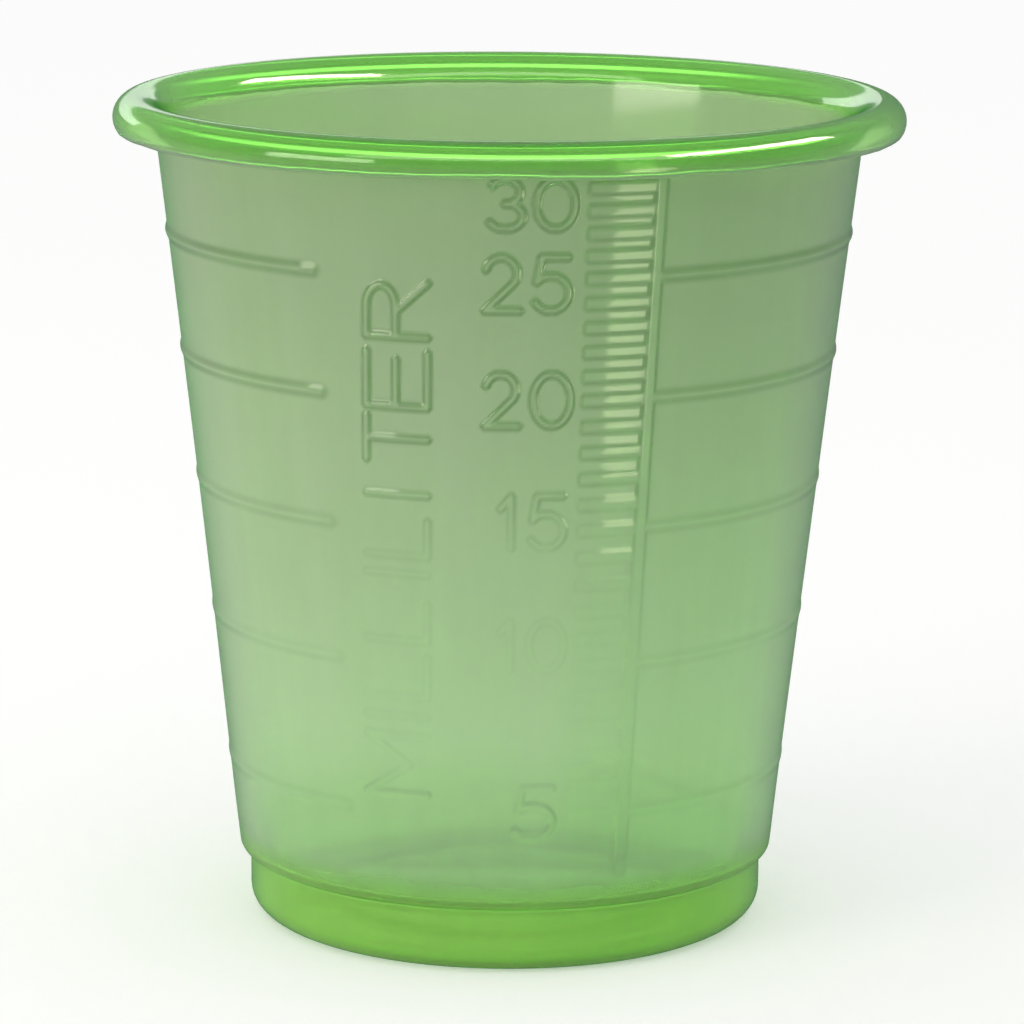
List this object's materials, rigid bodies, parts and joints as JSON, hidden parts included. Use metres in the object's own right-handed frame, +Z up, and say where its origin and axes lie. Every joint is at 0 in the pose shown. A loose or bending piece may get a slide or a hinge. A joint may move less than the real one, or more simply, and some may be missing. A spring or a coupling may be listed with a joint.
{
  "type": "medicine cup",
  "caption": "Small tapered see-through plastic cup for a dose of liquid medicine, with a rolled lip, raised graduation rings, an upright scale of teeth and an inset foot.",
  "frame": {"origin": "middle of the base, in the plane of the table that the cup stands on", "axes": "+Z up along the cup's axis, -Y is the front, where the bare field stands left of the scale, +X to the right seen from the front"},
  "size_m": [0.04, 0.04, 0.0423],
  "materials": {
    "cup_sheet": "clear green polypropylene, glossy, slightly hazy"
  },
  "bodies": {
    "root": {"cup": "cup_sheet"}
  },
  "joints": []
}
